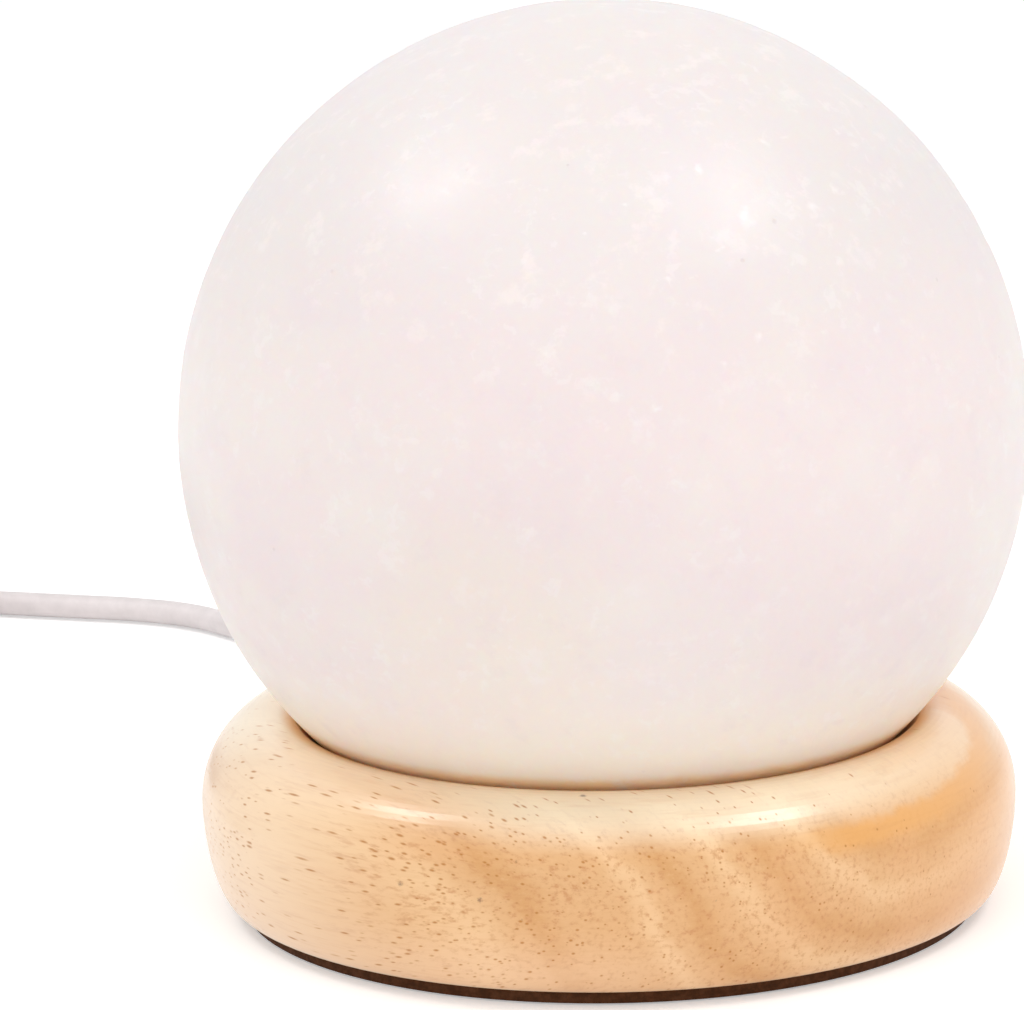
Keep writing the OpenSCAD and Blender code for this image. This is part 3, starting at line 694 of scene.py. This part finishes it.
# Growth rings round the pith: shades by radius, and how far slow and quick waves move them
PITH_ACROSS = 4.0
PITH_Z = 27.0
RING_SPREAD = 0.5
RING_SPAN = 60.0
RING_BANDS = [(8, WOOD_TAN), (10.5, WOOD_TAN), (13, WOOD_ORANGE), (15.5, WOOD_TAN),
              (17.5, WOOD_PALE), (20, WOOD_TAN), (22.5, WOOD_ORANGE), (24.5, WOOD_TAN),
              (26, WOOD_PALE), (28.5, WOOD_TAN), (31, WOOD_ORANGE), (33, WOOD_TAN),
              (34.5, WOOD_PALE), (36.5, WOOD_TAN), (40, WOOD_TAN), (42.5, WOOD_ORANGE),
              (44, WOOD_TAN), (47, WOOD_PALE), (52, WOOD_TAN)]
SLOW_NOISE = (0.12, 15, 2, 0.5)
QUICK_NOISE = (0.10, 3.2, 3, 0.6)
RING_SLOW = 5.0
RING_QUICK = 2.4
RING_SHIFT = -3.7

# Rosy patches, fibres, and faint lines that the turning left
PATCH_NOISE = (0.3, 9, 3, 0.6)
PATCH_SPAN = (0.42, 0.66)
PATCH_SHARE = 0.35
FIBRE_NOISE = (0.05, 0.55, 4, 0.65)
FIBRE_DARK = (0.48, 0.72, 0, 0.7)
FIBRE_PALE = (0.45, 0.25, 0, 0.25)
TURNED_STRETCH = (0.06, 0.06, 1)
TURNED_NOISE = (0.35, 2, 0.6)
TURNED_SPAN = (0.5, 0.75, 0, 0.12)

# Paler at the left, more amber at the right, and paler towards the foot
LEFT_PALE_ALONG = (-18, 8)
LEFT_PALE_ACROSS = (-20, -44)
LEFT_PALE_SHARE = 0.75
AMBER_ACROSS = (-8, 32, 0, 0.8)
LOW_HEIGHT = (3, 10, 0.5, 0)
LOW_ACROSS = (-36, -12, 1, 0)

# Painted light and sheen on the top of the rim, and painted light on the lip of the dish
RIM_LIGHT_HEIGHT = (16, 20.5, 0, 0.75)
RIM_LIGHT_RADIUS = (31.5, 33.5)
RIM_LIGHT_RIGHT = (-10, 14, 1, 0.65)
RIM_LIGHT_LEFT = (-42, -30, 0.2, 1)
LIP_LIGHT_HEIGHT = (17.5, 20)
LIP_LIGHT_RADIUS = (33.7, 35.2, 0.85, 0)

# Golden arc at the right of the front: its middle, its reach, and how far quick waves move it
ARC_MIDDLE = (-2.0, 34.0)
ARC_SPREAD = 0.4
ARC_QUICK = 1.8
ARC_INNER = (17.2, 18.3)
ARC_OUTER = (19.0, 20.8, 1, 0)
ARC_ACROSS = (-14, -4, 0, 0.8)

# Pores: how many there are, and their shape, which is long where the grain lies in the surface
PORE_STRETCH = 0.12
PORE_SIZE = 0.5
PORE_SHAPE = ((0.22, 0.40), 0.25)
PORES_LEFT = (-42, -24, 1, 0.4)
PORES_RIGHT = (-18, 0, 1, 0.15)
PORES_NOISE = (0.15, 4.5, 2, 0.5)
PORES_SPAN = (0.38, 0.56, 0.45, 1)
PORE_SHARE = 0.75
PORE_COAT = (0, 1, 1, 0.4)

# Small dark marks: middle and soft edge
WOOD_MARKS = [((-21.3, -37.9, 12.6), 0.5), ((-9.4, -41.7, 15.8), 0.35),
              ((-13.2, -41.5, 11.8), 0.5), ((-8.9, -42.5, 10.0), 0.3), ((10.7, -42.2, 11.6), 0.35),
              ((-5.9, -41.2, 17.8), 0.3), ((-2.6, -36.2, 21.0), 0.6)]
MARK_CORE = 0.4
MARK_WANDER = 0.6
MARK_SHARE = 0.8

# Surface of the wood and of the lacquer: how much fibres and pores count, depth and strength
FIBRE_PART = 0.12
PORE_PART = -0.2
WOOD_BUMP = (0.00005, 0.4)
LACQUER_BUMP = (0.00003, 0.15)


def ring_shades(g, ring_r):
    """The shades of the growth rings by their radius."""
    bands = g.add("ValToRGB", {"Fac": g.math("DIVIDE", ring_r, RING_SPAN)})
    ramp = bands.color_ramp
    ramp.interpolation = "EASE"
    for element, position, shade in zip(ramp.elements, (0, 1), (WOOD_TAN, WOOD_PALE)):
        element.position = position
        element.color = shade
    for radius, shade in RING_BANDS:
        ramp.elements.new(radius / RING_SPAN).color = shade
    return bands.outputs["Color"]


def wood_material():
    """Light rubberwood under a thin gloss lacquer. The grain lies level, its end to the right of
    the front, and the growth rings run round a pith that lay above the base."""
    g = Finish("rubberwood")

    def along_grain(stretch):
        return g.place(turn=-GRAIN_TURN, scale=(1, stretch, 1))

    def grain_noise(stretch, *settings):
        return g.noise(along_grain(stretch), *settings)

    place = along_grain(1)
    apart = g.add("SeparateXYZ", {"Vector": place}).outputs
    across, along, height = apart["X"], apart["Y"], apart["Z"]
    level = g.vector("MULTIPLY", place, (1, 1, 0))
    radius = g.add("VectorMath", {0: level}, operation="LENGTH").outputs["Value"]
    quick = grain_noise(*QUICK_NOISE)
    fibre = grain_noise(*FIBRE_NOISE)

    # Growth rings, drawn apart beyond the pith
    beside = g.plus(across, -PITH_ACROSS)
    beyond = g.times(g.math("MAXIMUM", beside, 0), RING_SPREAD)
    beside = g.plus(g.math("MINIMUM", beside, 0), beyond)
    ring_r = g.plus(g.hypot(beside, g.plus(height, -PITH_Z)),
                    g.times(grain_noise(*SLOW_NOISE), RING_SLOW), g.times(quick, RING_QUICK),
                    RING_SHIFT)
    tone = ring_shades(g, ring_r)

    # Patches and fibres, then paler at the left, more amber at the right and paler at the foot
    patchy = g.ramp(grain_noise(*PATCH_NOISE), *PATCH_SPAN)
    tone = g.cover(tone, WOOD_ROSE, patchy, PATCH_SHARE)
    tone = g.layer(tone, WOOD_STREAK, fibre, FIBRE_DARK)
    tone = g.layer(tone, WOOD_PALE, fibre, FIBRE_PALE)
    left_pale = g.times(g.ramp(along, *LEFT_PALE_ALONG), g.ramp(across, *LEFT_PALE_ACROSS))
    tone = g.cover(tone, WOOD_LEFT_PALE, left_pale, LEFT_PALE_SHARE)
    tone = g.layer(tone, WOOD_AMBER, across, AMBER_ACROSS)
    low = g.times(g.ramp(height, *LOW_HEIGHT), g.ramp(across, *LOW_ACROSS))
    tone = g.mix(low, tone, WOOD_LOW)

    # Painted light on the top of the rim, the arc, and painted light on the dish's lip
    # Painted light and sheen on the top of the rim, less at the left and right
    rim_light = g.times(g.ramp(height, *RIM_LIGHT_HEIGHT), g.ramp(radius, *RIM_LIGHT_RADIUS),
                  g.ramp(across, *RIM_LIGHT_RIGHT), g.ramp(across, *RIM_LIGHT_LEFT))
    tone = g.mix(rim_light, tone, WOOD_RIM_LIGHT)
    arc_across = g.times(g.plus(across, -ARC_MIDDLE[0]), ARC_SPREAD)
    arc_r = g.hypot(arc_across, g.plus(height, -ARC_MIDDLE[1]))
    arc_r = g.plus(arc_r, g.times(quick, ARC_QUICK))
    arc = g.times(g.ramp(arc_r, *ARC_INNER), g.ramp(arc_r, *ARC_OUTER),
                  g.ramp(across, *ARC_ACROSS))
    tone = g.mix(arc, tone, WOOD_ARC)
    # Painted light on the lip of the dish, brightening the shaded pocket under the ball
    lip_light = g.times(g.ramp(radius, *LIP_LIGHT_RADIUS), g.ramp(height, *LIP_LIGHT_HEIGHT))
    tone = g.mix(lip_light, tone, WOOD_LIP_LIGHT)

    # Pores, lines from the turning, and marks
    few = g.times(g.ramp(across, *PORES_LEFT), g.ramp(across, *PORES_RIGHT),
                  g.ramp(grain_noise(*PORES_NOISE), *PORES_SPAN))
    pore = g.flecks(along_grain(PORE_STRETCH), PORE_SIZE, few, *PORE_SHAPE)
    tone = g.cover(tone, WOOD_PORE, pore, PORE_SHARE)
    turned = g.noise(g.place(scale=TURNED_STRETCH), *TURNED_NOISE)
    tone = g.layer(tone, WOOD_STREAK, turned, TURNED_SPAN)
    for centre, soft in WOOD_MARKS:
        mark = g.spot(g.place(), centre, soft * MARK_CORE, soft, MARK_WANDER)
        tone = g.cover(tone, WOOD_MARK, mark, MARK_SHARE)

    # Surface, and the lacquer, which is thin over the pores
    relief = g.plus(g.times(fibre, FIBRE_PART), g.times(pore, PORE_PART))
    g.set(Base_Color=tone, Roughness=0.4, IOR=1.5, Specular_IOR_Level=0.2,
          Normal=g.bump(relief, *WOOD_BUMP), Coat_Weight=g.ramp(pore, *PORE_COAT),
          Coat_Roughness=0.24, Coat_IOR=1.55, Coat_Normal=g.bump(relief, *LACQUER_BUMP))
    return g.material


# Plain materials, and which piece gets which

DARKER_SPAN = (0.3, 0.7)
ROUGHER_SPAN = (0.2, 0.8)
ROUGHER = 0.15
PLAIN_BUMP_STRENGTH = 0.3
BUMP_PER_GRAIN = 1 / 8


def plain_material(name, shown, roughness, metallic=0.0, grain=3.0, depth=0.00004, spread=0.04,
                   **more):
    """Moulded plastic, coated wire, felt or metal: a shade that wanders a little, and a fine
    surface."""
    g = Finish(name)
    place = g.place()
    wander = g.noise(place, grain, 3, 0.6)
    base = colour(*shown)
    darker = [c * (1 - 2 * spread) for c in base[:3]] + [1]
    rough = g.ramp(wander, *ROUGHER_SPAN, roughness * (1 - ROUGHER), roughness * (1 + ROUGHER))
    g.set(Base_Color=g.layer(base, darker, wander, DARKER_SPAN), Roughness=rough,
          Metallic=metallic, **more)
    surface = g.noise(place, grain * BUMP_PER_GRAIN, 2)
    g.set(Normal=g.bump(surface, depth, PLAIN_BUMP_STRENGTH))
    return g.material


def dress(name, material):
    """Gives a CAD node a material in all its slots."""
    piece = nodes[name]
    if not piece.material_slots:
        piece.data.materials.append(material)
    for slot in piece.material_slots:
        slot.material = material


salt = salt_material()
wood = wood_material()
felt = plain_material("felt", (84, 43, 4), 0.95, grain=0.8, depth=0.0002, spread=0.2)
white_plastic = plain_material("white_plastic", (240, 240, 236), 0.4)
milky = plain_material("milky_plastic", (246, 246, 242), 0.35, Subsurface_Weight=0.5,
                       Subsurface_Scale=0.003, Subsurface_Radius=(1.0, 1.0, 1.0))
board = plain_material("white_board", (236, 239, 236), 0.3)
chip = plain_material("led_chip", (246, 236, 170), 0.3)
resistor = plain_material("resistor", (40, 40, 42), 0.4)
solder = plain_material("solder", (214, 214, 218), 0.2, metallic=1.0)
red_wire = plain_material("red_wire", (190, 40, 32), 0.35)
black_wire = plain_material("black_wire", (30, 30, 30), 0.35)
steel = plain_material("screw_steel", (214, 214, 218), 0.28, metallic=1.0)
cord_white = plain_material("cord_white", (238, 230, 230), 0.45)
tie_white = plain_material("tie_white", (240, 240, 240), 0.4)
nickel = plain_material("nickel", (216, 216, 218), 0.22, metallic=1.0)
gold = plain_material("gold", (236, 200, 120), 0.2, metallic=1.0)

cord.data.materials.append(cord_white)
ball.data.materials.append(salt)
grip.data.materials.append(cord_white)
finishes = {
    "wood_base": wood, "base_pad": felt, "led_holder": white_plastic,
    "holder_screws": steel, "led_board": board, "led_chips": chip, "board_resistors": resistor,
    "solder_joints": solder, "led_dome": milky, "wire_positive": red_wire,
    "wire_negative": black_wire, "cord_inner": cord_white, "cord_stop_tie": white_plastic,
    "cord_grommet": cord_white, "coil_tie": tie_white,
    "usb_plug_shell": nickel, "usb_plug_tongue": white_plastic, "usb_plug_contacts": gold,
}
for name, finish in finishes.items():
    dress(name, finish)


# Floor, world and lamps

WHITE = (1, 1, 1, 1)
FLOOR_SIZE = 30
FLOOR_Z = -0.0002
FLOOR_COLOUR = (0.9, 0.9, 0.9, 1)
FLOOR_GLOW = 0.36

# The world's light on the object: from low down, and more from behind and in front
HORIZON_LEVEL = 1.12
ZENITH_LEVEL = 0.0
WORLD_SIDES = [{"direction": (0, 1, 0.3), "edge": 0.0, "level": 0.24},
               {"direction": (0, -1, 0.4), "edge": 0.35, "level": 0.45}]

# Studio lamps, in metres and watts
LAMP_TARGET = Vector((0, 0, 0.03))
SOFTBOXES = [
    {"name": "softbox_left", "direction": (-0.55, 0.06, 0.83), "distance": 0.9,
     "size": (0.26, 0.22), "power": 1.5},
    {"name": "softbox_right", "direction": (0.48, -0.13, 0.86), "distance": 0.9,
     "size": (0.28, 0.22), "power": 1.8},
    {"name": "softbox_front", "direction": (0.0, -0.42, 0.9), "distance": 0.95,
     "size": (1.0, 0.7), "power": 1.5},
]


def seen_share(g):
    """1 where the camera, a mirror or a clear piece looks straight at the surface, else 0."""
    path = g.add("LightPath").outputs
    seen = g.math("MAXIMUM", path["Is Camera Ray"], path["Is Glossy Ray"])
    return g.math("MAXIMUM", seen, path["Is Transmission Ray"])


def make_floor():
    """A pale floor that glows a little where it is seen, so that it shows white."""
    bpy.ops.mesh.primitive_plane_add(size=FLOOR_SIZE, location=(0, 0, FLOOR_Z))
    floor = bpy.context.object
    floor.name = "floor"
    g = Finish("floor")
    g.tree.nodes.remove(g.shader)
    diffuse = g.add("BsdfDiffuse", {"Color": FLOOR_COLOUR})
    glow = g.add("Emission", {"Color": WHITE, "Strength": g.times(seen_share(g), FLOOR_GLOW)})
    both = g.add("AddShader", {0: diffuse.outputs[0], 1: glow.outputs[0]})
    g.feed(g.output.inputs["Surface"], both.outputs[0])
    floor.data.materials.append(g.material)


def make_world():
    """White where it is seen. Its light is soft, stronger from low down, and from behind and in
    front."""
    world = bpy.data.worlds.new("studio")
    bpy.context.scene.world = world
    world.use_nodes = True
    g = Graph(world.node_tree)
    coords = g.add("TexCoord").outputs["Generated"]
    up = g.add("SeparateXYZ", {"Vector": coords}).outputs["Z"]
    level = g.ramp(up, 0, 1, HORIZON_LEVEL, ZENITH_LEVEL, smooth=False)
    for side in WORLD_SIDES:
        facing = g.vector("DOT_PRODUCT", coords, Vector(side["direction"]).normalized(), "Value")
        level = g.plus(level, g.ramp(facing, side["edge"], 1, 0, side["level"]))
    strength = g.ramp(seen_share(g), 0, 1, level, 1.0, smooth=False)
    back = g.tree.nodes["Background"]
    g.feed(back.inputs["Strength"], strength)
    g.feed(back.inputs["Color"], WHITE)


def make_softbox(name, direction, distance, size, power):
    """A flat lamp that faces the middle of the salt lamp's base."""
    light = bpy.data.lights.new(name, "AREA")
    light.shape = "RECTANGLE"
    light.size, light.size_y = size
    light.energy = power
    seat = bpy.data.objects.new(name, light)
    seat.location = LAMP_TARGET + distance * Vector(direction).normalized()
    seat.rotation_euler = (LAMP_TARGET - seat.location).to_track_quat("-Z", "Y").to_euler()
    bpy.context.scene.collection.objects.link(seat)


make_floor()
make_world()
for softbox in SOFTBOXES:
    make_softbox(**softbox)

bpy.context.scene.view_settings.view_transform = "Standard"
